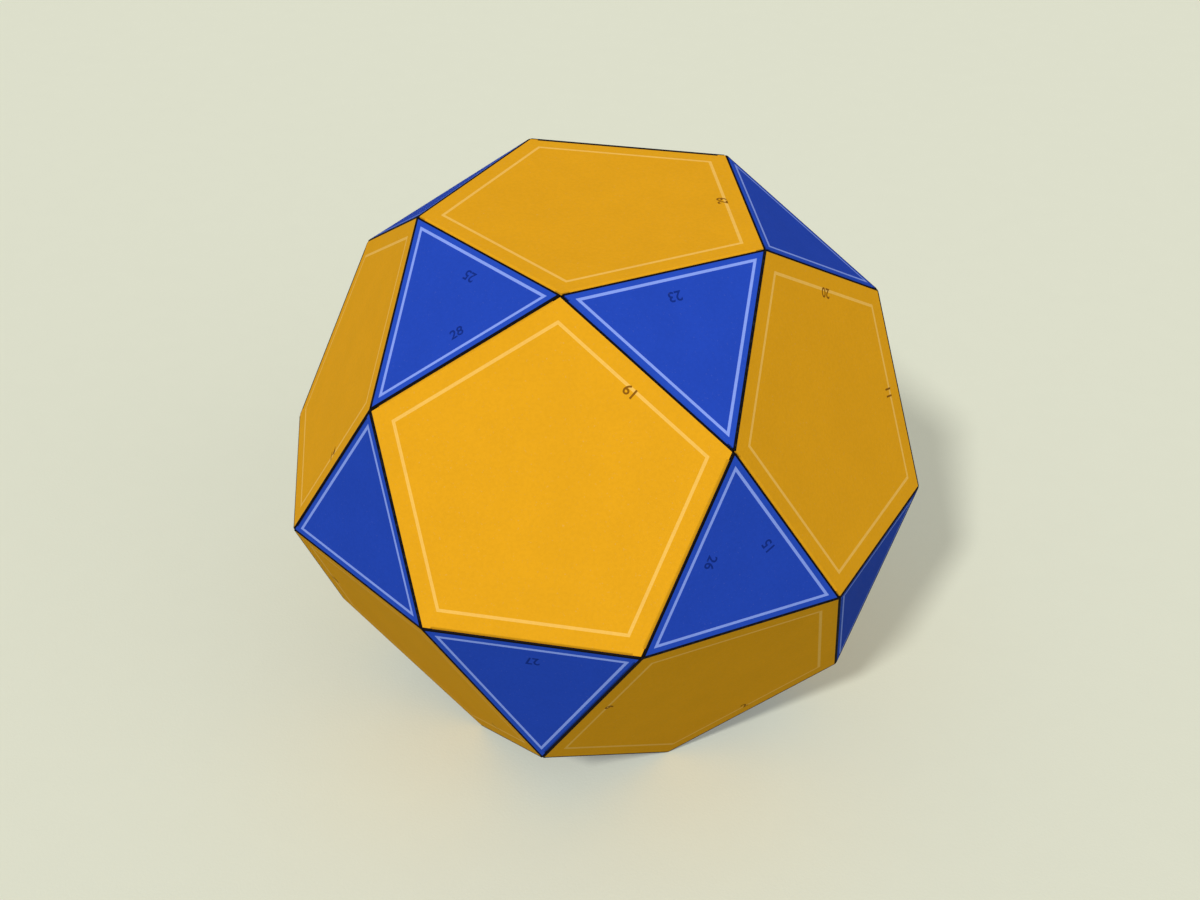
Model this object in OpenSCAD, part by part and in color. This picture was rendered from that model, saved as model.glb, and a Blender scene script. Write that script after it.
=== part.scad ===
// Paper icosidodecahedron: 12 pentagons and 20 triangles, cut in one piece from a sheet of printed card.
// The sheet is scored and folded along 31 edges, and glued along the other 29, each with a tab behind it.
// It stands on a pentagon. +Z is up, and the origin is the middle of that pentagon.

/* [Solid] */
// Length of every edge, from corner to corner
edge = 24; // [18:1:60]

/* [Card] */
// Thickness of the card
card_t = 0.25; // [0.15:0.05:0.4]
// Depth of the score that a fold is made along, which opens into a narrow V
score_depth = 0.08; // [0.04:0.02:0.1]
// Diameter of the pinhole that is left where four corners of the card meet
pinhole_d = 0.4; // [0.4:0.1:1]

/* [Glue tabs] */
// Depth of a tab glued behind a pentagon
pentagon_tab = 4.5; // [2:0.5:5.5]
// Angle of the slanted ends of a tab behind a pentagon
pentagon_tab_angle = 45; // [35:1:50]
// Depth of a tab glued behind a triangle, and of the five tabs beside the bottom pentagon
triangle_tab = 2.8; // [1.5:0.1:3]
// Angle of the slanted ends of those tabs
triangle_tab_angle = 25; // [22:1:28]
// Room between the end of a tab and the cut corner of its panel
tab_end_gap = 0.3; // [0.2:0.1:1]

/* [Colours] */
// Printed colour of the pentagons
pentagon_colour = "#f0ac2e"; // [#f0ac2e:Orange, #d9482f:Red, #f2d03b:Yellow]
// Printed colour of the triangles
triangle_colour = "#2e4dbe"; // [#2e4dbe:Blue, #2f8f5b:Green, #6a3fa0:Purple]
// Colour of the unprinted card
card_colour = "#f6f4ee"; // [#f6f4ee:White, #e9dfc4:Cream, #cfcac2:Grey]

/* [Hidden] */

// The panels lie in rings round the axis. A panel is named by its ring and its place there, 0 to 4.
PLACES = [0:4];
turn_angle = 72;

// The fold between a pentagon and a triangle, and the tilts that follow from it
fold_angle = acos(sqrt((5 + 2 * sqrt(5)) / 15));
pentagon_tilt = atan(2);
belt_tilt = fold_angle + acos(sqrt(5) / 3);

// Each ring, from the bottom up: its name, the corners of a panel, the tilt of its outer face, the bearing
// of place 0, and the direction of one side. A direction is 0 down the slope and grows with the bearing.
RINGS = [
    ["bottom", 5, 180, 0, -90],
    ["foot", 3, 180 - fold_angle, -90, 0],
    ["lower", 5, 180 - pentagon_tilt, -54, 180],
    ["lower belt", 3, 180 - belt_tilt, -90, 180],
    ["upper belt", 3, belt_tilt, -54, 0],
    ["upper", 5, pentagon_tilt, -90, 0],
    ["shoulder", 3, fold_angle, -54, 180],
    ["top", 5, 0, 0, -54]
];
function ring_row(name) = RINGS[search([name], RINGS)[0]];
function ring_corners(name) = ring_row(name)[1];
function ring_tilt(name) = ring_row(name)[2];
function ring_bearing(name) = ring_row(name)[3];
function ring_side(name) = ring_row(name)[4];

// Each seam: ring, place and side of the panel that carries the tab, then of the panel it is glued behind.
// Every edge that isn't a seam is a fold.
SEAMS = [
    for (k = PLACES) [["foot", k, -120], ["lower", k - 1, 36]],
    for (k = PLACES) [["lower belt", k, 60], ["lower", k, -108]],
    for (k = [1:4]) [["upper belt", k, -120], ["upper", k, 72]],
    for (k = [1:4]) [["upper", k, -72], ["upper belt", k - 1, 120]],
    for (k = [0:3]) [["shoulder", k, -60], ["upper", k, 144]],
    for (k = [0, 2, 4]) [["top", 0, turn_angle * k - 54], ["shoulder", k, 180]],
    [["upper", 0, 72], ["upper belt", 0, -120]],
    [["upper", 0, 0], ["lower belt", 0, 180]],
    [["upper", 0, -144], ["shoulder", 4, 60]],
    [["shoulder", 1, 180], ["top", 0, turn_angle - 54]]
];

// Corners of the solid, by rings: tilt of the line to the corner from the middle, and bearing of place 0
corner_tilt = atan((sqrt(5) - 1) / 2);
CORNER_RINGS = [
    [corner_tilt, -90],
    [90 - corner_tilt, -54],
    [90, -72],
    [90, -36],
    [90 + corner_tilt, -90],
    [180 - corner_tilt, -54]
];

// Distances from the middle of the solid to a corner and to a face, and from the middle of a face to a side
corner_distance = edge * (1 + sqrt(5)) / 2;
function face_distance(corners) =
    corners == 5 ? edge * sqrt(1 + 2 / sqrt(5)) : edge * (3 + sqrt(5)) / sqrt(12);
function side_distance(corners) = edge / 2 / tan(180 / corners);

// A score takes this much off each side of a fold.
score_half = score_depth * tan(fold_angle / 2);
// A tab folds down just short of the edge, so that it passes under the panel that it is glued behind.
tab_setback = card_t / sin(fold_angle);
tab_reach = card_t / tan(fold_angle);
tab_end = tab_end_gap + tab_setback * tan(60);
function tab_depth(corners) = corners == 5 ? pentagon_tab : triangle_tab;
function tab_angle(corners) = corners == 5 ? pentagon_tab_angle : triangle_tab_angle;

// Sides of a panel that are seams: role 0 gives those where it carries the tab, role 1 those over a tab
function seam_sides(ring, place, role) = [
    for (seam = SEAMS)
        if (seam[role][0] == ring && (seam[role][1] - place) % 5 == 0) seam[role][2]
];
// Tabs behind a panel: the side that each lies along, and the panel that its form suits, by corners. A tab of
// the foot is cut from the narrow gap beside the bottom panel, so it has the form that suits a triangle.
function tabs_behind(ring, place) = [
    for (seam = SEAMS)
        if (seam[1][0] == ring && (seam[1][1] - place) % 5 == 0)
            [seam[1][2], seam[0][0] == "foot" ? 3 : ring_corners(ring)]
];
function is_among(side, sides) = len([
    for (other = sides)
        if (abs((side - other) % 360) < 1) other
]) > 0;

// How far a side of a panel is cut back from the edge of the solid
function cut_back(ring, place, side) =
    is_among(side, seam_sides(ring, place, 0)) ? tab_setback + score_half :
    is_among(side, seam_sides(ring, place, 1)) ? 0 : score_half;

// Corner between two sides given by the directions that they face and their distances from the middle
function corner(a, a_distance, b, b_distance) = [
    a_distance * sin(b) - b_distance * sin(a),
    b_distance * cos(a) - a_distance * cos(b)
] / sin(b - a);

function panel_outline(ring, place) =
    let (corners = ring_corners(ring), step = 360 / corners, full = side_distance(corners))
    [
        for (i = [0:corners - 1])
            let (a = ring_side(ring) + i * step, b = a + step)
            corner(a, full - cut_back(ring, place, a), b, full - cut_back(ring, place, b))
    ];

// A tab behind the side of a panel, from its fold just outside the edge to its free end
module tab(corners, form) {
    depth = tab_depth(form);
    fold_half = edge / 2 - tab_end;
    free_half = fold_half - depth / tan(tab_angle(form));
    fold_x = tab_reach - score_half;
    translate([side_distance(corners), 0, -2 * card_t])
        linear_extrude(card_t)
            polygon([[fold_x, -fold_half], [fold_x, fold_half], [-depth, free_half], [-depth, -free_half]]);
}

// A printed panel, and the tabs of its neighbours that are glued behind it
module panel(ring, place) {
    corners = ring_corners(ring);
    translate([0, 0, face_distance(5)])
        rotate([0, ring_tilt(ring), ring_bearing(ring) + turn_angle * place])
            translate([0, 0, face_distance(corners)]) {
                color(corners == 5 ? pentagon_colour : triangle_colour)
                    translate([0, 0, -card_t])
                        linear_extrude(card_t)
                            polygon(panel_outline(ring, place));
                color(card_colour)
                    for (behind = tabs_behind(ring, place))
                        rotate(behind[0])
                            tab(corners, behind[1]);
            }
}

// The pinholes at the corners of the solid
module pinholes() {
    reach = 8 * card_t;
    for (ring = CORNER_RINGS, place = PLACES)
        translate([0, 0, face_distance(5)])
            rotate([0, ring[0], ring[1] + turn_angle * place])
                translate([0, 0, corner_distance - reach])
                    cylinder(d = pinhole_d, h = 2 * reach, $fn = 10);
}

// The whole sheet, folded up and glued shut
module folded_net() {
    difference() {
        union() {
            panel("bottom", 0);
            for (ring = ["foot", "lower", "lower belt", "upper belt", "upper", "shoulder"], place = PLACES)
                panel(ring, place);
            panel("top", 0);
        }
        pinholes();
    }
}

folded_net();
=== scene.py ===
import logging
import math
from collections.abc import Callable, Iterator
from contextlib import contextmanager
from dataclasses import dataclass, field
from enum import Enum

import bmesh
import bpy
from mathutils import Matrix, Vector


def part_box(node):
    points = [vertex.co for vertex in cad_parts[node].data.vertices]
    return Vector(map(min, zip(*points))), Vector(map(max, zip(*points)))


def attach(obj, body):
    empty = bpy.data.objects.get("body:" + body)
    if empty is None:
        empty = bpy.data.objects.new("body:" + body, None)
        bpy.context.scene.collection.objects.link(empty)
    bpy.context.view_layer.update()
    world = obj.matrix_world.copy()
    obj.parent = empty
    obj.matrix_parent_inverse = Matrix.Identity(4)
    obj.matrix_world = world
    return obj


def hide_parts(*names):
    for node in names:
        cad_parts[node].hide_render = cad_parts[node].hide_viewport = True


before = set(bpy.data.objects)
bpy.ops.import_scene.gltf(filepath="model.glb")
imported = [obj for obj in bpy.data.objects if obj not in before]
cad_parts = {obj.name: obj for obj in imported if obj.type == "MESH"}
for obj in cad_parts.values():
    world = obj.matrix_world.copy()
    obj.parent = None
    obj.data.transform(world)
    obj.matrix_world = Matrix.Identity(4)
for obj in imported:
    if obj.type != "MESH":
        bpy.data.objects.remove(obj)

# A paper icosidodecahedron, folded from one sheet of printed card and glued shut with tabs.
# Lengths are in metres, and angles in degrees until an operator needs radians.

log = logging.getLogger("paper_solid")

Colour = tuple[float, float, float, float]

MM = 0.001
PLACE_STEP = 72
FOLD_ANGLE = math.degrees(math.acos(math.sqrt((5 + 2 * math.sqrt(5)) / 15)))
PENTAGON_TILT = math.degrees(math.atan(2))
BELT_TILT = FOLD_ANGLE + math.degrees(math.acos(math.sqrt(5) / 3))
PENTAGON_DISTANCE = math.sqrt(1 + 2 / math.sqrt(5))
TRIANGLE_DISTANCE = (3 + math.sqrt(5)) / math.sqrt(12)


class Surface(Enum):
    """The printed and bare surfaces of the card, in the order of the material slots."""

    PENTAGON_FIELD = 0
    PENTAGON_MARGIN = 1
    PENTAGON_LINE = 2
    TRIANGLE_FIELD = 3
    TRIANGLE_MARGIN = 4
    TRIANGLE_LINE = 5
    OUTLINE = 6
    CUT_EDGE = 7
    BACK = 8


class Side(Enum):
    """What a side of a panel is."""

    FOLD = "fold"
    CARRIER = "carries a tab"
    RECEIVER = "glued over a tab"


def srgb(red: float, green: float, blue: float) -> Colour:
    """Turns a colour of 0 to 255 into the linear colour that a shader takes.

    Args:
        red: Red, 0 to 255.
        green: Green, 0 to 255.
        blue: Blue, 0 to 255.

    Returns:
        The linear colour with full alpha.
    """
    linear = []
    for value in (red, green, blue):
        part = value / 255
        linear.append(part / 12.92 if part <= 0.04045 else ((part + 0.055) / 1.055) ** 2.4)
    return (linear[0], linear[1], linear[2], 1.0)


def heading(angle: float) -> Vector:
    """Gives the flat unit vector that points at an angle."""
    return Vector((math.cos(math.radians(angle)), math.sin(math.radians(angle)), 0.0))


def same_heading(one: float, other: float) -> bool:
    """Says whether two directions are the same within a degree."""
    return abs((one - other + 180) % 360 - 180) < 1


class Bench:
    """Selecting and editing, as by hand at the bench."""

    @staticmethod
    def pick(piece: bpy.types.Object) -> None:
        """Deselects everything, then selects one piece and makes it active.

        Args:
            piece: The piece to pick.
        """
        bpy.ops.object.select_all(action="DESELECT")
        piece.select_set(True)
        bpy.context.view_layer.objects.active = piece

    @staticmethod
    @contextmanager
    def editing(piece: bpy.types.Object, mode: str = "FACE") -> Iterator[None]:
        """Opens a piece in edit mode with everything selected, and closes it after.

        Args:
            piece: The piece to edit.
            mode: VERT, EDGE or FACE, the kind of thing that is selected.

        Returns:
            Nothing to hold on to while the piece is open.
        """
        Bench.pick(piece)
        bpy.ops.object.mode_set(mode="EDIT")
        bpy.ops.mesh.select_mode(type=mode)
        bpy.ops.mesh.select_all(action="SELECT")
        yield
        bpy.ops.object.mode_set(mode="OBJECT")

    @staticmethod
    def choose_faces(test: Callable[[Vector, int], bool]) -> None:
        """Selects only the faces of the open piece that pass a test.

        Args:
            test: Takes a face's centre and the number of its material slot.
        """
        mesh = bpy.context.object.data
        shape = bmesh.from_edit_mesh(mesh)
        bpy.ops.mesh.select_all(action="DESELECT")
        for face in shape.faces:
            if test(face.calc_center_median(), face.material_index):
                face.select_set(True)
        bmesh.update_edit_mesh(mesh)

    @staticmethod
    def cut(point: Vector, normal: Vector, clear: bool) -> None:
        """Cuts what is selected with a plane, and may take off what lies in front of it."""
        bpy.ops.mesh.bisect(plane_co=point, plane_no=normal, clear_outer=clear, threshold=1e-8)

    @staticmethod
    def cut_all(point: Vector, normal: Vector, clear: bool) -> None:
        """Cuts the whole open piece with a plane, and may take off what lies in front of it."""
        bpy.ops.mesh.select_all(action="SELECT")
        Bench.cut(point, normal, clear)

    @staticmethod
    def paint(surface: Surface) -> None:
        """Gives the selected faces of the open piece a surface."""
        bpy.context.object.active_material_index = surface.value
        bpy.ops.object.material_slot_assign()

    @staticmethod
    def copy(piece: bpy.types.Object, name: str) -> bpy.types.Object:
        """Copies a piece with its own mesh.

        Args:
            piece: The piece to copy.
            name: The copy's name.

        Returns:
            The copy.
        """
        Bench.pick(piece)
        bpy.ops.object.duplicate(linked=False)
        made = bpy.context.object
        made.name = name
        return made

    @staticmethod
    def join(pieces: list[bpy.types.Object], name: str) -> bpy.types.Object:
        """Joins several pieces into one.

        Args:
            pieces: The pieces, of which the first takes in the others.
            name: The name of what they become.

        Returns:
            The joined piece.
        """
        Bench.pick(pieces[0])
        for piece in pieces:
            piece.select_set(True)
        bpy.ops.object.join()
        made = bpy.context.object
        made.name = name
        return made

    @staticmethod
    def apply(piece: bpy.types.Object, modifier: bpy.types.Modifier) -> None:
        """Applies a modifier to its piece."""
        Bench.pick(piece)
        bpy.ops.object.modifier_apply(modifier=modifier.name)


CARD_WHITE = srgb(246, 244, 238)
WEAR_NAME = "fold_wear"


@dataclass(frozen=True)
class CardFinish:
    """Card, bare or printed.

    The ink is cloudy, sinks between the fibres, misses specks and is rubbed off at the folds.
    """

    name: str
    colour: Colour
    roughness: float = 0.78
    gloss: float = 0.025
    cloud: float = 0.02
    cloud_scale: float = 210.0
    cloud_detail: float = 3.0
    cloud_limits: tuple[float, float] = (0.35, 0.65)
    grain: float = 0.11
    grain_limits: tuple[float, float] = (0.42, 0.6)
    sunk_tone: float = 0.7
    specks: float = 0.06
    speck_scale: float = 5200.0
    speck_detail: float = 1.0
    speck_limits: tuple[float, float] = (0.68, 0.78)
    wear: float = 0.0
    wear_limits: tuple[float, float] = (0.5, 0.66)
    fibre_scale: float = 2600.0
    fibre_detail: float = 4.0
    fibre_height: float = 0.024 * MM
    fibre_relief: float = 0.8
    under: Colour = CARD_WHITE

    def make(self) -> bpy.types.Material:
        """Builds the material.

        Returns:
            A material on Object coordinates.
        """
        material = bpy.data.materials.new(self.name)
        material.use_nodes = True
        tree = material.node_tree
        shader = tree.nodes["Principled BSDF"]
        shader.inputs["Roughness"].default_value = self.roughness
        shader.inputs["Specular IOR Level"].default_value = self.gloss
        place = tree.nodes.new("ShaderNodeTexCoord").outputs["Object"]
        fibres = self._noise(tree, place, self.fibre_scale, self.fibre_detail)
        tree.links.new(self._ink(tree, place, fibres), shader.inputs["Base Color"])
        bump = tree.nodes.new("ShaderNodeBump")
        bump.inputs["Strength"].default_value = self.fibre_relief
        bump.inputs["Distance"].default_value = self.fibre_height
        tree.links.new(fibres, bump.inputs["Height"])
        tree.links.new(bump.outputs["Normal"], shader.inputs["Normal"])
        return material

    def _ink(
        self, tree: bpy.types.NodeTree, place: bpy.types.NodeSocket, fibres: bpy.types.NodeSocket
    ) -> bpy.types.NodeSocket:
        """Mixes the colour of the surface, one flaw of the print after the other.

        Args:
            tree: The material's nodes.
            place: The Object coordinates.
            fibres: The height of the fibres.

        Returns:
            The colour.
        """
        clouds = self._noise(tree, place, self.cloud_scale, self.cloud_detail)
        cloudy = self._ramp(tree, clouds, self.cloud_limits)
        ink = self._mix(tree, cloudy, self._tone(1 - self.cloud), self._tone(1 + self.cloud))
        sunk = self._scaled(tree, self._ramp(tree, fibres, self.grain_limits), self.grain)
        ink = self._mix(tree, sunk, ink, self._tone(self.sunk_tone))
        dots = self._noise(tree, place, self.speck_scale, self.speck_detail)
        missed = self._scaled(tree, self._ramp(tree, dots, self.speck_limits), self.specks)
        ink = self._mix(tree, missed, ink, self.under)
        if self.wear:
            ink = self._mix(tree, self._rubbed(tree, fibres), ink, self.under)
        return ink

    def _tone(self, share: float) -> Colour:
        """Gives the colour, darker or lighter by a share."""
        red, green, blue = (min(1.0, part * share) for part in self.colour[:3])
        return (red, green, blue, 1.0)

    def _rubbed(
        self, tree: bpy.types.NodeTree, fibres: bpy.types.NodeSocket
    ) -> bpy.types.NodeSocket:
        """Finds where the fibres of a fold are rubbed bare.

        Args:
            tree: The material's nodes.
            fibres: The height of the fibres.

        Returns:
            The share of bare card, 0 to 1.
        """
        folds = tree.nodes.new("ShaderNodeAttribute")
        folds.attribute_name = WEAR_NAME
        both = tree.nodes.new("ShaderNodeMath")
        both.operation = "MULTIPLY"
        tree.links.new(folds.outputs["Fac"], both.inputs[0])
        tree.links.new(self._ramp(tree, fibres, self.wear_limits), both.inputs[1])
        return self._scaled(tree, both.outputs[0], self.wear)

    @staticmethod
    def _noise(
        tree: bpy.types.NodeTree, place: bpy.types.NodeSocket, scale: float, detail: float
    ) -> bpy.types.NodeSocket:
        """Adds a noise texture.

        Args:
            tree: The material's nodes.
            place: The coordinates that it reads.
            scale: How many swells there are to a metre.
            detail: How many finer layers it has.

        Returns:
            The height of the noise.
        """
        node = tree.nodes.new("ShaderNodeTexNoise")
        node.inputs["Scale"].default_value = scale
        node.inputs["Detail"].default_value = detail
        tree.links.new(place, node.inputs["Vector"])
        return node.outputs["Fac"]

    @staticmethod
    def _ramp(
        tree: bpy.types.NodeTree, value: bpy.types.NodeSocket, limits: tuple[float, float]
    ) -> bpy.types.NodeSocket:
        """Stretches a value.

        Args:
            tree: The material's nodes.
            value: The value.
            limits: What becomes 0, and what becomes 1.

        Returns:
            The value, from 0 to 1.
        """
        node = tree.nodes.new("ShaderNodeMapRange")
        node.inputs["From Min"].default_value = limits[0]
        node.inputs["From Max"].default_value = limits[1]
        tree.links.new(value, node.inputs["Value"])
        return node.outputs["Result"]

    @staticmethod
    def _scaled(
        tree: bpy.types.NodeTree, value: bpy.types.NodeSocket, factor: float
    ) -> bpy.types.NodeSocket:
        """Multiplies a value by a fixed factor.

        Args:
            tree: The material's nodes.
            value: The value.
            factor: The factor.

        Returns:
            The product.
        """
        node = tree.nodes.new("ShaderNodeMath")
        node.operation = "MULTIPLY"
        node.inputs[1].default_value = factor
        tree.links.new(value, node.inputs[0])
        return node.outputs[0]

    @staticmethod
    def _mix(
        tree: bpy.types.NodeTree,
        share: bpy.types.NodeSocket,
        first: bpy.types.NodeSocket | Colour,
        second: bpy.types.NodeSocket | Colour,
    ) -> bpy.types.NodeSocket:
        """Mixes two colours.

        Args:
            tree: The material's nodes.
            share: The share of the second colour, 0 to 1.
            first: A colour or a socket.
            second: A colour or a socket.

        Returns:
            The mixed colour.
        """
        node = tree.nodes.new("ShaderNodeMix")
        node.data_type = "RGBA"
        tree.links.new(share, node.inputs[0])
        for socket, value in ((node.inputs[6], first), (node.inputs[7], second)):
            if isinstance(value, tuple):
                socket.default_value = value
            else:
                tree.links.new(value, socket)
        return node.outputs[2]


ORANGE = srgb(240, 172, 29)
BLUE = srgb(38, 74, 189)
FINISHES = {
    Surface.PENTAGON_FIELD: CardFinish("orange_field", ORANGE, cloud=0.015),
    Surface.PENTAGON_MARGIN: CardFinish("orange_margin", ORANGE, cloud=0.015),
    Surface.PENTAGON_LINE: CardFinish("pale_line_on_orange", srgb(255, 199, 92), specks=0.05),
    Surface.TRIANGLE_FIELD: CardFinish("blue_field", BLUE, specks=0.03),
    Surface.TRIANGLE_MARGIN: CardFinish("blue_margin", srgb(40, 79, 194), specks=0.03),
    Surface.TRIANGLE_LINE: CardFinish("pale_line_on_blue", srgb(141, 166, 246), specks=0.05),
    Surface.OUTLINE: CardFinish("black_outline", srgb(18, 17, 22), specks=0.01, wear=0.02),
    Surface.CUT_EDGE: CardFinish("inked_cut_edge", srgb(30, 27, 28), roughness=0.9, specks=0.02),
    Surface.BACK: CardFinish("bare_back", CARD_WHITE, roughness=0.88, cloud=0.02, specks=0.0),
}
NUMBER_FINISHES = (
    CardFinish("brown_number", srgb(148, 96, 20), specks=0.03),
    CardFinish("navy_number", srgb(21, 48, 136), specks=0.03),
)


@dataclass(frozen=True)
class Ring:
    """A ring of equal panels round the upright axis."""

    corners: int
    tilt: float
    bearing: float
    first_side: float


RINGS = {
    "bottom": Ring(5, 180, 0, -90),
    "foot": Ring(3, 180 - FOLD_ANGLE, -90, 0),
    "lower": Ring(5, 180 - PENTAGON_TILT, -54, 180),
    "lower belt": Ring(3, 180 - BELT_TILT, -90, 180),
    "upper belt": Ring(3, BELT_TILT, -54, 0),
    "upper": Ring(5, PENTAGON_TILT, -90, 0),
    "shoulder": Ring(3, FOLD_ANGLE, -54, 180),
    "top": Ring(5, 0, 0, -54),
}


@dataclass(frozen=True)
class Spot:
    """One side of one panel."""

    ring: str
    place: int
    side: float


@dataclass(frozen=True)
class Seam:
    """A glued edge: the side that carries the tab, and the side that is glued over it."""

    carrier: Spot
    receiver: Spot


def all_seams() -> list[Seam]:
    """Lists the 29 glued edges of the net.

    Returns:
        The seams, in the order of their numbers.
    """
    rows = []
    for k in range(5):
        rows.append((("foot", k, -120), ("lower", k - 1, 36)))
    for k in range(5):
        rows.append((("lower belt", k, 60), ("lower", k, -108)))
    for k in range(1, 5):
        rows.append((("upper belt", k, -120), ("upper", k, 72)))
    for k in range(1, 5):
        rows.append((("upper", k, -72), ("upper belt", k - 1, 120)))
    for k in range(4):
        rows.append((("shoulder", k, -60), ("upper", k, 144)))
    for k in (0, 2, 4):
        rows.append((("top", 0, PLACE_STEP * k - 54), ("shoulder", k, 180)))
    rows.append((("upper", 0, 72), ("upper belt", 0, -120)))
    rows.append((("upper", 0, 0), ("lower belt", 0, 180)))
    rows.append((("upper", 0, -144), ("shoulder", 4, 60)))
    rows.append((("shoulder", 1, 180), ("top", 0, 18)))
    return [Seam(Spot(a[0], a[1] % 5, a[2]), Spot(b[0], b[1] % 5, b[2])) for a, b in rows]


@dataclass
class CardNet:
    """The whole sheet of card, folded up and glued shut."""

    edge: float
    card: float = 0.25 * MM
    glue: float = 0.012 * MM
    pinhole_radius: float = 0.2 * MM
    fold_end: float = 0.62 * MM
    fold_radius: float = 0.05 * MM
    fold_segments: int = 2
    fold_play: float = 5.0
    bleed: float = 0.8 * MM
    tab_end_gap: float = 0.3 * MM
    tab_depth: dict[int, float] = field(default_factory=lambda: {5: 4.5 * MM, 3: 2.8 * MM})
    tab_angle: dict[int, float] = field(default_factory=lambda: {5: 45.0, 3: 25.0})
    outline_share: float = 0.0092
    line_share: dict[int, float] = field(default_factory=lambda: {5: 0.015, 3: 0.0135})
    line_inset_share: dict[int, float] = field(default_factory=lambda: {5: 0.096, 3: 0.0405})
    field_cuts: int = 9
    field_rim: float = 0.01 * MM
    waviness: float = 0.045 * MM
    wave_length: float = 15 * MM
    wave_room: float = 5 * MM
    weld: float = 0.004 * MM
    smooth_angle: float = 8.0
    seams: list[Seam] = field(default_factory=all_seams)
    materials: dict[Surface, bpy.types.Material] = field(default_factory=dict)
    setback: float = field(init=False)
    tab_run: float = field(init=False)
    tab_half: float = field(init=False)
    outline: float = field(init=False)

    def __post_init__(self) -> None:
        """Works out where a tab folds, and how long it is."""
        depth = self.card + self.glue
        self.setback = depth / math.sin(math.radians(FOLD_ANGLE))
        self.tab_run = depth / math.tan(math.radians(FOLD_ANGLE))
        corner_slope = math.tan(math.radians(60))
        self.tab_half = self.edge / 2 - self.tab_end_gap - self.setback * corner_slope
        self.outline = self.edge * self.outline_share

    def side_distance(self, corners: int) -> float:
        """Gives the distance from the middle of a panel to its sides."""
        return self.edge / 2 / math.tan(math.pi / corners)

    def matrix(self, ring: str, place: int) -> Matrix:
        """Gives the placement of a panel.

        Args:
            ring: The panel's ring.
            place: Its place in the ring, 0 to 4.

        Returns:
            The matrix from a panel lying flat to its place on the solid.
        """
        kind = RINGS[ring]
        distance = self.edge * (PENTAGON_DISTANCE if kind.corners == 5 else TRIANGLE_DISTANCE)
        return (
            Matrix.Translation((0, 0, self.edge * PENTAGON_DISTANCE))
            @ Matrix.Rotation(math.radians(kind.bearing + PLACE_STEP * place), 4, "Z")
            @ Matrix.Rotation(math.radians(kind.tilt), 4, "Y")
            @ Matrix.Translation((0, 0, distance))
        )

    def side_kind(self, ring: str, place: int, side: float) -> Side:
        """Says what a side of a panel is.

        Args:
            ring: The panel's ring.
            place: Its place in the ring, 0 to 4.
            side: The direction that the side faces.

        Returns:
            A fold, unless a seam names the side.
        """
        for seam in self.seams:
            for spot, kind in ((seam.carrier, Side.CARRIER), (seam.receiver, Side.RECEIVER)):
                if spot.ring == ring and spot.place == place and same_heading(spot.side, side):
                    return kind
        return Side.FOLD

    def master_panel(self, corners: int) -> bpy.types.Object:
        """Models a panel lying flat, before its sides are cut: its outline, margin, pale line and field.

        Args:
            corners: Corners of the panel.

        Returns:
            The panel, with its outer face up and a side towards +X.
        """
        radius = self.edge / 2 / math.sin(math.pi / corners)
        bpy.ops.object.select_all(action="DESELECT")
        bpy.ops.mesh.primitive_circle_add(vertices=corners, radius=radius, fill_type="NGON")
        panel = bpy.context.object
        panel.name = f"panel_{corners}"
        panel.data.transform(Matrix.Rotation(math.pi / corners - math.pi / 2, 4, "Z"))
        for surface in Surface:
            panel.data.materials.append(self.materials[surface])
        kinds = {
            5: (Surface.PENTAGON_MARGIN, Surface.PENTAGON_LINE, Surface.PENTAGON_FIELD),
            3: (Surface.TRIANGLE_MARGIN, Surface.TRIANGLE_LINE, Surface.TRIANGLE_FIELD),
        }[corners]
        line = self.edge * self.line_share[corners]
        to_line = self.edge * self.line_inset_share[corners] - line / 2
        with Bench.editing(panel):
            Bench.paint(Surface.OUTLINE)
            for step, surface in zip((self.outline, to_line - self.outline, line), kinds):
                bpy.ops.mesh.inset(thickness=step, depth=0)
                Bench.paint(surface)
            bpy.ops.mesh.poke()
            bpy.ops.mesh.subdivide(number_cuts=self.field_cuts)
        self._free_field(panel, corners, to_line + line)
        return panel

    def _free_field(self, panel: bpy.types.Object, corners: int, inset: float) -> None:
        """Marks how freely each point of the field may wave, from 0 at the pale line.

        Args:
            panel: The flat panel.
            corners: Its corners.
            inset: How far its field lies inside its sides.
        """
        group = panel.vertex_groups.new(name="field")
        inner = self.side_distance(corners) - inset
        sides = [heading(i * 360 / corners) for i in range(corners)]
        for vertex in panel.data.vertices:
            room = min(inner - vertex.co.dot(side) for side in sides)
            if room > self.field_rim:
                group.add([vertex.index], min(1.0, room / self.wave_room), "REPLACE")

    def panel(self, master: bpy.types.Object, ring: str, place: int) -> bpy.types.Object:
        """Copies a panel, cuts its sides and corners, and puts it in place.

        Args:
            master: The flat panel of the same kind.
            ring: The panel's ring.
            place: Its place in the ring.

        Returns:
            The panel in its place on the solid.
        """
        kind = RINGS[ring]
        piece = Bench.copy(master, f"panel_{ring.replace(' ', '_')}_{place}")
        piece.data.transform(Matrix.Rotation(math.radians(kind.first_side), 4, "Z"))
        step = 360 / kind.corners
        radius = self.edge / 2 / math.sin(math.pi / kind.corners)
        corner_cut = radius - self.pinhole_radius * math.sin(math.pi / kind.corners)
        with Bench.editing(piece):
            for i in range(kind.corners):
                side = kind.first_side + i * step
                self._cut_side(kind.corners, side, self.side_kind(ring, place, side))
            for i in range(kind.corners):
                out = heading(kind.first_side + (i + 0.5) * step)
                Bench.cut_all(out * corner_cut, out, True)
        piece.data.transform(self.matrix(ring, place))
        return piece

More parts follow.
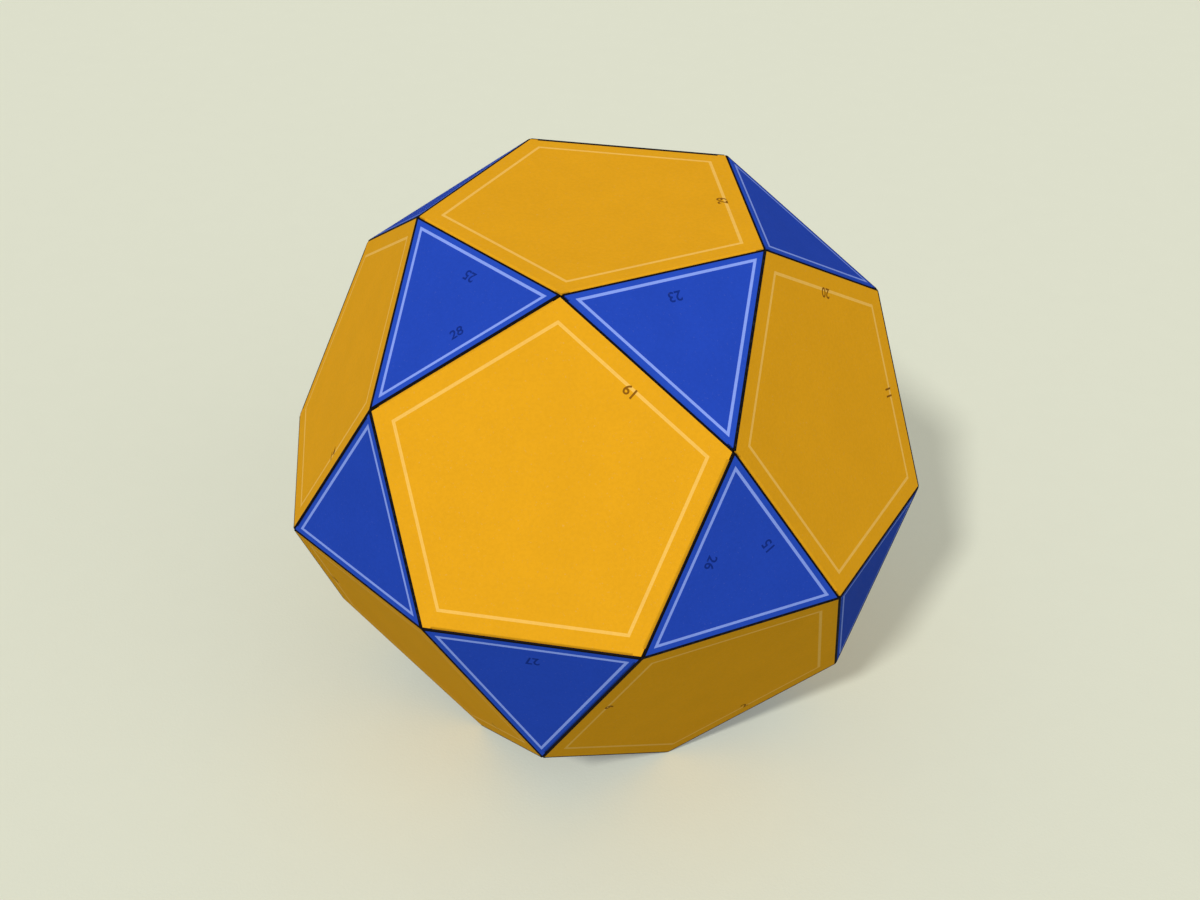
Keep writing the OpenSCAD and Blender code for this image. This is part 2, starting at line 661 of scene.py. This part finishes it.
    def _cut_side(self, corners: int, side: float, kind: Side) -> None:
        """Cuts one side of the open panel. A side that is glued over a tab keeps its edge whole.

        Args:
            corners: Corners of the panel.
            side: The direction that the side faces.
            kind: What the side is.
        """
        full = self.side_distance(corners)
        out = heading(side)
        if kind is Side.FOLD:
            half = self.edge / 2 - self.fold_end
            self._split_ends(side, half, full - self.outline, Surface.OUTLINE)
        elif kind is Side.CARRIER:
            crease = full - self.setback
            line = full - self.edge * self.line_inset_share[corners]
            margin = Surface.PENTAGON_MARGIN if corners == 5 else Surface.TRIANGLE_MARGIN
            Bench.cut_all(out * (full - self.outline), out, True)
            Bench.cut_all(out * crease, out, False)
            self._split_ends(side, self.tab_half, line, margin)
            self._open_for_tab(side, crease)

    @staticmethod
    def _split_ends(side: float, half: float, limit: float, surface: Surface) -> None:
        """Cuts across a strip along a side, near both of its ends.

        Args:
            side: The direction that the side faces.
            half: How far from the side's middle each cut is.
            limit: How far from the panel's middle the strip starts.
            surface: The surface of the strip.
        """
        out = heading(side)
        along = heading(side + 90)
        for end in (half, -half):
            Bench.choose_faces(lambda c, slot: slot == surface.value and c.dot(out) > limit)
            Bench.cut(along * end, along, False)

    def _open_for_tab(self, side: float, crease: float) -> None:
        """Takes off the card between the two ears that stand beside a tab's fold.

        Args:
            side: The direction that the side faces.
            crease: How far from the panel's middle the tab folds.
        """
        out = heading(side)
        along = heading(side + 90)
        Bench.choose_faces(
            lambda c, slot: c.dot(out) > crease and abs(c.dot(along)) < self.tab_half
        )
        bpy.ops.mesh.delete(type="FACE")

    def master_tab(self, form: int) -> bpy.types.Object:
        """Models a glue tab lying flat, from its fold at X = 0 to its free end.

        Args:
            form: 5 for the deep form behind a pentagon, 3 for the narrow form.

        Returns:
            The tab, with the print run over its fold, and bare beyond that.
        """
        length = self.tab_run + self.tab_depth[form]
        bpy.ops.object.select_all(action="DESELECT")
        bpy.ops.mesh.primitive_plane_add(size=1)
        tab = bpy.context.object
        tab.name = f"tab_{form}"
        tab.data.transform(Matrix.Diagonal((length, 2 * self.tab_half, 1, 1)))
        tab.data.transform(Matrix.Translation((length / 2, 0, 0)))
        for surface in Surface:
            tab.data.materials.append(self.materials[surface])
        run = self.tab_depth[form] / math.tan(math.radians(self.tab_angle[form]))
        with Bench.editing(tab):
            Bench.paint(Surface.BACK)
            for way in (1, -1):
                slant = Vector((run, way * self.tab_depth[form], 0)).normalized()
                Bench.cut_all(Vector((self.tab_run, way * self.tab_half, 0)), slant, True)
            Bench.cut_all(Vector((self.bleed, 0, 0)), Vector((1, 0, 0)), False)
            Bench.choose_faces(lambda c, slot: c.x < self.bleed)
            Bench.paint(Surface.PENTAGON_MARGIN)
        return tab

    def tab(self, master: bpy.types.Object, seam: Seam, number: int) -> bpy.types.Object:
        """Copies a tab and folds it down from its panel's side.

        Args:
            master: The flat tab of the form that suits the seam.
            seam: The seam that it is glued in.
            number: The seam's number.

        Returns:
            The tab, in its place behind the neighbour.
        """
        spot = seam.carrier
        full = self.side_distance(RINGS[spot.ring].corners)
        piece = Bench.copy(master, f"tab_{number}")
        if RINGS[spot.ring].corners == 3:
            with Bench.editing(piece):
                Bench.choose_faces(lambda c, slot: slot == Surface.PENTAGON_MARGIN.value)
                Bench.paint(Surface.TRIANGLE_MARGIN)
        piece.data.transform(
            self.matrix(spot.ring, spot.place)
            @ Matrix.Rotation(math.radians(spot.side), 4, "Z")
            @ Matrix.Translation((full - self.setback, 0, 0))
            @ Matrix.Rotation(math.radians(FOLD_ANGLE), 4, "Y")
        )
        return piece

    def tab_form(self, seam: Seam) -> int:
        """Gives the form of a seam's tab: the foot's tabs come from a narrow gap in the sheet."""
        return 3 if seam.carrier.ring == "foot" else RINGS[seam.receiver.ring].corners

    def build(self) -> bpy.types.Object:
        """Models every panel and tab, joins them, gives the card its thickness and rounds the folds.

        Returns:
            The card, dressed and in its place.
        """
        self.materials = {surface: finish.make() for surface, finish in FINISHES.items()}
        panels = {corners: self.master_panel(corners) for corners in (5, 3)}
        tabs = {form: self.master_tab(form) for form in (5, 3)}
        pieces = []
        for ring, kind in RINGS.items():
            for place in range(1 if ring in ("bottom", "top") else 5):
                pieces.append(self.panel(panels[kind.corners], ring, place))
        for number, seam in enumerate(self.seams, 1):
            pieces.append(self.tab(tabs[self.tab_form(seam)], seam, number))
        for master in (*panels.values(), *tabs.values()):
            bpy.data.objects.remove(master)
        card = Bench.join(pieces, "printed_card")
        self._crease(card)
        self._wave(card)
        self._thicken(card)
        self._round_folds(card)
        self._touch_up(card)
        Bench.pick(card)
        bpy.ops.object.shade_smooth_by_angle(angle=math.radians(self.smooth_angle))
        return card

    def _crease(self, card: bpy.types.Object) -> None:
        """Joins the panels and tabs at their folds into one sheet, and clears slivers off it.

        Args:
            card: The panels and tabs, as loose parts of one piece.
        """
        with Bench.editing(card):
            bpy.ops.mesh.remove_doubles(threshold=self.weld)
            bpy.ops.mesh.dissolve_degenerate(threshold=self.weld)
            bpy.ops.mesh.select_all(action="SELECT")
            bpy.ops.mesh.normals_make_consistent(inside=False)

    def _wave(self, card: bpy.types.Object) -> None:
        """Lets the fields of the panels sink in slight waves, as card does once it is glued.

        Args:
            card: The sheet, still without its thickness.
        """
        texture = bpy.data.textures.new("card_waves", "CLOUDS")
        texture.noise_scale = self.wave_length
        modifier = card.modifiers.new("waves", "DISPLACE")
        modifier.texture = texture
        modifier.texture_coords = "LOCAL"
        modifier.strength = self.waviness
        modifier.mid_level = 1.0
        modifier.vertex_group = "field"
        Bench.apply(card, modifier)

    def _thicken(self, card: bpy.types.Object) -> None:
        """Gives the sheet its thickness inwards, with a bare back and inked cut edges.

        Args:
            card: The sheet, still without its thickness.
        """
        outer = len(card.data.polygons)
        modifier = card.modifiers.new("thickness", "SOLIDIFY")
        modifier.thickness = self.card
        modifier.offset = -1
        modifier.use_even_offset = True
        Bench.apply(card, modifier)
        for face in card.data.polygons:
            if face.index >= 2 * outer:
                face.material_index = Surface.CUT_EDGE.value
            elif face.index >= outer:
                face.material_index = Surface.BACK.value

    def _round_folds(self, card: bpy.types.Object) -> None:
        """Rounds the outer side of every fold, and marks where it wears.

        Args:
            card: The thick card.
        """
        printed = range(Surface.CUT_EDGE.value)
        low = math.radians(FOLD_ANGLE - self.fold_play)
        high = math.radians(FOLD_ANGLE + self.fold_play)
        with Bench.editing(card, "EDGE"):
            bpy.ops.mesh.select_all(action="DESELECT")
            shape = bmesh.from_edit_mesh(card.data)
            for edge in shape.edges:
                sides = [face.material_index in printed for face in edge.link_faces]
                if sides == [True, True] and low < edge.calc_face_angle() < high:
                    edge.select_set(True)
            bmesh.update_edit_mesh(card.data)
            bpy.ops.mesh.bevel(
                offset=self.fold_radius, segments=self.fold_segments, profile=0.5, affect="EDGES"
            )
            shape = bmesh.from_edit_mesh(card.data)
            touched = [vertex.index for vertex in shape.verts if vertex.select]
        wear = card.data.attributes.new(WEAR_NAME, "FLOAT", "POINT")
        for index in touched:
            wear.data[index].value = 1.0

    def _touch_up(self, card: bpy.types.Object) -> None:
        """Runs the panel's own colour over the cut edges that no black outline borders.

        Args:
            card: The thick card, with its folds rounded.
        """
        margins = {Surface.PENTAGON_MARGIN.value, Surface.TRIANGLE_MARGIN.value}
        with Bench.editing(card):
            shape = bmesh.from_edit_mesh(card.data)
            for face in shape.faces:
                if face.material_index != Surface.CUT_EDGE.value:
                    continue
                beside = {other.material_index for edge in face.edges for other in edge.link_faces}
                if beside & margins and Surface.OUTLINE.value not in beside:
                    face.material_index = (beside & margins).pop()
            bmesh.update_edit_mesh(card.data)


@dataclass
class SeamNumbers:
    """The small plain numbers printed beside the glued edges."""

    net: CardNet
    height_share: float = 0.05
    inset_share: dict[int, float] = field(default_factory=lambda: {5: 0.11, 3: 0.124})
    clearance: float = 0.004 * MM
    ink: float = 0.003 * MM
    boldness: float = 0.018
    curve_steps: int = 4

    def build(self, card: bpy.types.Object) -> bpy.types.Object:
        """Prints every number on the card.

        Args:
            card: The folded card.

        Returns:
            All the numbers as one piece.
        """
        materials = [finish.make() for finish in NUMBER_FINISHES]
        made = [self._number(n, seam, materials) for n, seam in enumerate(self.net.seams, 1)]
        numbers = Bench.join(made, "seam_numbers")
        lay = numbers.modifiers.new("lay", "SHRINKWRAP")
        lay.target = card
        lay.wrap_method = "NEAREST_SURFACEPOINT"
        lay.wrap_mode = "ABOVE_SURFACE"
        lay.offset = self.clearance
        Bench.apply(numbers, lay)
        ink = numbers.modifiers.new("ink", "SOLIDIFY")
        ink.thickness = self.ink
        ink.offset = 1
        Bench.apply(numbers, ink)
        bpy.ops.object.shade_flat()
        return numbers

    def _number(
        self, number: int, seam: Seam, materials: list[bpy.types.Material]
    ) -> bpy.types.Object:
        """Makes one number, reading upright from its glued edge.

        Args:
            number: The seam's number.
            seam: The seam.
            materials: The ink on a pentagon, and the ink on a triangle.

        Returns:
            The number, flat on the panel that is glued over the seam's tab.
        """
        spot = seam.receiver
        corners = RINGS[spot.ring].corners
        bpy.ops.object.select_all(action="DESELECT")
        bpy.ops.object.text_add()
        words = bpy.context.object
        words.name = f"number_{number}"
        words.data.body = str(number)
        words.data.align_x = "CENTER"
        words.data.resolution_u = self.curve_steps
        words.data.offset = self.boldness
        bpy.ops.object.convert(target="MESH")
        piece = bpy.context.object
        for material in materials:
            piece.data.materials.append(material)
        for face in piece.data.polygons:
            face.material_index = 0 if corners == 5 else 1
        low = min(vertex.co.y for vertex in piece.data.vertices)
        high = max(vertex.co.y for vertex in piece.data.vertices)
        size = self.net.edge * self.height_share / (high - low)
        middle = self.net.side_distance(corners) - self.net.edge * self.inset_share[corners]
        piece.data.transform(
            self.net.matrix(spot.ring, spot.place)
            @ Matrix.Rotation(math.radians(spot.side), 4, "Z")
            @ Matrix.Translation((middle, 0, 0))
            @ Matrix.Rotation(math.radians(90), 4, "Z")
            @ Matrix.Scale(size, 4)
            @ Matrix.Translation((0, -(low + high) / 2, 0))
        )
        return piece


@dataclass
class Studio:
    """The floor, the light and the camera."""

    aim_height: float
    distance: float
    azimuth: float = 11.47
    elevation: float = 34.43
    lens: float = 51.48
    key_level: float = 0.60
    key_softness: float = 6.0
    key_from: tuple[float, float, float] = (-0.308, -0.661, 0.684)
    side_level: float = 0.145
    side_softness: float = 60.0
    side_from: tuple[float, float, float] = (0.678, -0.637, 0.366)
    fill_level: float = 0.386
    floor_size: float = 6.0
    floor_drop: float = 0.02 * MM
    floor_cloud: float = 0.004
    floor_glow: float = 0.25
    floor_bounce: Colour = (0.225, 0.255, 0.195, 1.0)
    floor_seen: Colour = srgb(221, 223, 203)
    floor_colour: Colour = srgb(238, 240, 219)
    sensor_width: float = 36.0
    nearest: float = 0.005

    def build(self) -> None:
        """Sets up everything round the object."""
        self._colour_management()
        self._floor()
        self._lamp("key", self.key_from, self.key_level, self.key_softness)
        self._lamp("side", self.side_from, self.side_level, self.side_softness)
        self._fill()
        self._camera()

    @staticmethod
    def _colour_management() -> None:
        """Shows colours as they are written."""
        bpy.context.scene.view_settings.view_transform = "Standard"

    def _floor(self) -> None:
        """Lays the plain pale floor just under the resting panel."""
        bpy.ops.object.select_all(action="DESELECT")
        bpy.ops.mesh.primitive_plane_add(size=self.floor_size, location=(0, 0, 0))
        floor = bpy.context.object
        floor.name = "floor"
        finish = CardFinish("floor", self.floor_colour, cloud=self.floor_cloud, grain=0.0, specks=0.0)
        material = finish.make()
        self._calm_bounce(material.node_tree)
        floor.data.materials.append(material)
        floor.data.transform(Matrix.Translation((0, 0, -self.floor_drop)))

    def _calm_bounce(self, tree: bpy.types.NodeTree) -> None:
        """Lets the floor look pale to the camera, and throw less light back at the object.

        Args:
            tree: The nodes of the floor's material.
        """
        output = tree.nodes["Material Output"].inputs["Surface"]
        glow = tree.nodes.new("ShaderNodeEmission")
        glow.inputs["Color"].default_value = self.floor_seen
        seen = tree.nodes.new("ShaderNodeMixShader")
        seen.inputs[0].default_value = self.floor_glow
        tree.links.new(tree.nodes["Principled BSDF"].outputs[0], seen.inputs[1])
        tree.links.new(glow.outputs[0], seen.inputs[2])
        grey = tree.nodes.new("ShaderNodeBsdfDiffuse")
        grey.inputs["Color"].default_value = self.floor_bounce
        mix = tree.nodes.new("ShaderNodeMixShader")
        tree.links.new(self._seeing_rays(tree), mix.inputs[0])
        tree.links.new(grey.outputs[0], mix.inputs[1])
        tree.links.new(seen.outputs[0], mix.inputs[2])
        tree.links.new(mix.outputs[0], output)

    @staticmethod
    def _seeing_rays(tree: bpy.types.NodeTree) -> bpy.types.NodeSocket:
        """Tells the rays that see a thing from those that only carry its light.

        Args:
            tree: The nodes of a material or of the world.

        Returns:
            1 for rays from the camera and for those that a gloss or a clear thing sends on.
        """
        path = tree.nodes.new("ShaderNodeLightPath")
        seeing = path.outputs["Is Camera Ray"]
        for name in ("Is Glossy Ray", "Is Transmission Ray"):
            either = tree.nodes.new("ShaderNodeMath")
            either.operation = "MAXIMUM"
            tree.links.new(seeing, either.inputs[0])
            tree.links.new(path.outputs[name], either.inputs[1])
            seeing = either.outputs[0]
        return seeing

    def _lamp(
        self, name: str, source: tuple[float, float, float], level: float, softness: float
    ) -> None:
        """Hangs a soft lamp.

        Args:
            name: The lamp's name.
            source: Where it shines from: to the right, away from the camera, and up.
            level: How bright it makes a white surface that faces it.
            softness: How wide the lamp looks from the object.
        """
        turn = math.radians(self.azimuth)
        right = Vector((math.cos(turn), math.sin(turn), 0))
        away = Vector((-math.sin(turn), math.cos(turn), 0))
        place = right * source[0] + away * source[1] + Vector((0, 0, source[2]))
        lamp = bpy.data.lights.new(name, "SUN")
        lamp.energy = level * math.pi
        lamp.angle = math.radians(softness)
        hung = bpy.data.objects.new(name, lamp)
        hung.rotation_euler = place.to_track_quat("Z", "Y").to_euler()
        bpy.context.scene.collection.objects.link(hung)

    def _fill(self) -> None:
        """Lights the object from all round, before a backdrop as pale as the floor."""
        world = bpy.data.worlds.new("studio")
        world.use_nodes = True
        tree = world.node_tree
        light = tree.nodes["Background"]
        light.inputs["Color"].default_value = (1, 1, 1, 1)
        light.inputs["Strength"].default_value = self.fill_level
        backdrop = tree.nodes.new("ShaderNodeBackground")
        backdrop.inputs["Color"].default_value = self.floor_seen
        mix = tree.nodes.new("ShaderNodeMixShader")
        tree.links.new(self._seeing_rays(tree), mix.inputs[0])
        tree.links.new(light.outputs[0], mix.inputs[1])
        tree.links.new(backdrop.outputs[0], mix.inputs[2])
        tree.links.new(mix.outputs[0], tree.nodes["World Output"].inputs["Surface"])
        bpy.context.scene.world = world

    def _camera(self) -> None:
        """Puts the camera at the photograph's angle."""
        turn = math.radians(self.azimuth)
        rise = math.radians(self.elevation)
        back = Vector(
            (math.sin(turn) * math.cos(rise), -math.cos(turn) * math.cos(rise), math.sin(rise))
        )
        lens = bpy.data.cameras.new("camera")
        lens.lens = self.lens
        lens.sensor_width = self.sensor_width
        lens.clip_start = self.nearest
        camera = bpy.data.objects.new("camera", lens)
        camera.location = Vector((0, 0, self.aim_height)) + back * self.distance
        camera.rotation_euler = back.to_track_quat("Z", "Y").to_euler()
        bpy.context.scene.collection.objects.link(camera)
        bpy.context.scene.camera = camera


# The printed card is a hair smaller than the CAD solid, and the camera stands 8.789 edges away.
CARD_FIT = 0.9996
CAMERA_DISTANCE = 8.789


def main() -> None:
    """Builds the paper solid and its studio."""
    logging.basicConfig(level=logging.INFO, format="%(name)s: %(message)s")
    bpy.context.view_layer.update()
    low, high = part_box("folded_net")
    cad_edge = (high.z - low.z) / (2 * PENTAGON_DISTANCE)
    net = CardNet(edge=cad_edge * CARD_FIT)
    card = net.build()
    numbers = SeamNumbers(net).build(card)
    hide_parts("folded_net")
    for piece in (card, numbers):
        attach(piece, "root")
        log.info("%s: %d faces", piece.name, len(piece.data.polygons))
    Studio(aim_height=cad_edge * PENTAGON_DISTANCE, distance=cad_edge * CAMERA_DISTANCE).build()


if __name__ == "__main__":
    main()
